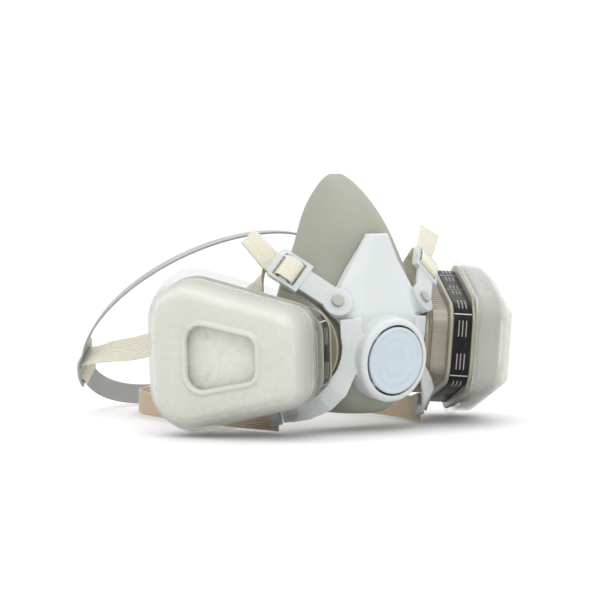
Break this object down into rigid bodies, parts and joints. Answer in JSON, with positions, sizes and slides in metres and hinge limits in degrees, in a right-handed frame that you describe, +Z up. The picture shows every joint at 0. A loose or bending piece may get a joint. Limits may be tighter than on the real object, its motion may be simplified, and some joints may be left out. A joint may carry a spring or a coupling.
{
  "type": "respirator mask",
  "caption": "Half-face respirator with side cartridges under clear filter covers, a valved front yoke and a webbing head harness with a crown ring",
  "frame": {"origin": "On the surface the respirator rests on, below the middle of its bounding box", "axes": "+Z is up; the front of the mask, with its exhalation valve, faces -Y; +X is the wearer's left"},
  "size_m": [0.257, 0.259, 0.1515],
  "materials": {
    "seal_elastomer": "satin grey-green silicone",
    "seal_grey": "satin grey",
    "yoke_plastic": "milky translucent moulding",
    "valve_cover_plastic": "pale blue-white moulding",
    "valve_grey": "moulded",
    "valve_elastomer": "thin silicone",
    "cover_plastic": "clear to milky moulding",
    "pad_felt": "blown fibre web",
    "case_plastic": "tan moulding with a faint sheen",
    "label_black": "printed film",
    "sorbent": "black granules",
    "grille_plastic": "moulded",
    "strap_cream": "knitted elastic webbing",
    "strap_tan": "knitted elastic webbing",
    "cradle_plastic": "flat grey band",
    "clasp_plastic": "moulded grey"
  },
  "bodies": {
    "mask": {"face_seal": "seal_elastomer", "front_yoke": "yoke_plastic", "valve_disc": "valve_cover_plastic", "exhalation_seat": "valve_grey", "neck_loop": "clasp_plastic", "cartridge_case_left": "case_plastic", "cartridge_case_right": "case_plastic", "label_band_left": "label_black", "label_band_right": "label_black", "sorbent_bed_left": "sorbent", "sorbent_bed_right": "sorbent", "front_grille_left": "grille_plastic", "front_grille_right": "grille_plastic", "port_bushing_left": "valve_grey", "port_bushing_right": "valve_grey", "neck_peg_left": "seal_grey", "neck_peg_right": "seal_grey", "neck_clip_left": "clasp_plastic", "neck_clip_right": "clasp_plastic", "stud_left": "seal_grey", "stud_right": "seal_grey", "upper_strap_left": "strap_cream", "upper_strap_right": "strap_cream", "neck_strap_left": "strap_tan", "neck_strap_right": "strap_tan"},
    "strap_arm_left": {"buckle_left": "yoke_plastic", "buckle_web_left": "strap_cream"},
    "cover_left": {"filter_cover_left": "cover_plastic"},
    "pad_left": {"particulate_pad_left": "pad_felt"},
    "inlet_left": {"inhalation_flap_left": "valve_elastomer"},
    "strap_arm_right": {"buckle_right": "yoke_plastic", "buckle_web_right": "strap_cream"},
    "cover_right": {"filter_cover_right": "cover_plastic"},
    "pad_right": {"particulate_pad_right": "pad_felt"},
    "inlet_right": {"inhalation_flap_right": "valve_elastomer"},
    "cradle": {"crown_cradle": "cradle_plastic", "cradle_web_left": "strap_cream", "cradle_web_right": "strap_cream"},
    "outlet": {"exhalation_flap": "valve_elastomer"},
    "clasp_hook": {"neck_hook": "clasp_plastic"}
  },
  "joints": [
    {"name": "strap_arm_left_pivot", "type": "hinge", "parent": "mask", "child": "strap_arm_left", "pos_m": [0.03246, -0.10618, 0.07803], "axis": [0.3994, -0.7932, 0.4597], "range_deg": [-6, 20]},
    {"name": "strap_arm_right_pivot", "type": "hinge", "parent": "mask", "child": "strap_arm_right", "pos_m": [-0.03246, -0.10618, 0.07803], "axis": [0.3994, 0.7932, -0.4597], "range_deg": [-6, 20]},
    {"name": "cover_left_off", "type": "slide", "parent": "mask", "child": "cover_left", "axis": [0.8551, -0.5138, -0.0698], "range_m": [0, 0.03]},
    {"name": "pad_left_off", "type": "slide", "parent": "mask", "child": "pad_left", "axis": [0.8551, -0.5138, -0.0698], "range_m": [0, 0.015]},
    {"name": "inlet_left_lift", "type": "slide", "parent": "mask", "child": "inlet_left", "axis": [-0.8551, 0.5138, 0.0698], "range_m": [0, 0.0018]},
    {"name": "cover_right_off", "type": "slide", "parent": "mask", "child": "cover_right", "axis": [-0.8551, -0.5138, -0.0698], "range_m": [0, 0.03]},
    {"name": "pad_right_off", "type": "slide", "parent": "mask", "child": "pad_right", "axis": [-0.8551, -0.5138, -0.0698], "range_m": [0, 0.015]},
    {"name": "inlet_right_lift", "type": "slide", "parent": "mask", "child": "inlet_right", "axis": [0.8551, 0.5138, 0.0698], "range_m": [0, 0.0018]},
    {"name": "outlet_swing", "type": "hinge", "parent": "mask", "child": "outlet", "pos_m": [0, -0.11185, 0.0594], "axis": [-1, 0, 0], "range_deg": [0, 9]},
    {"name": "cradle_tilt", "type": "hinge", "parent": "mask", "child": "cradle", "pos_m": [0, 0.09815, 0.03187], "axis": [1, 0, 0], "range_deg": [0, 12]},
    {"name": "clasp_hook_pivot", "type": "hinge", "parent": "mask", "child": "clasp_hook", "pos_m": [-0.0175, 0.09285, 0.00851], "axis": [0, 0, 1], "range_deg": [0, 60]}
  ],
  "couplings": [
    {"joint": "pad_left_off", "follows": "cover_left_off", "ratio": 0.5},
    {"joint": "pad_right_off", "follows": "cover_right_off", "ratio": 0.5}
  ]
}
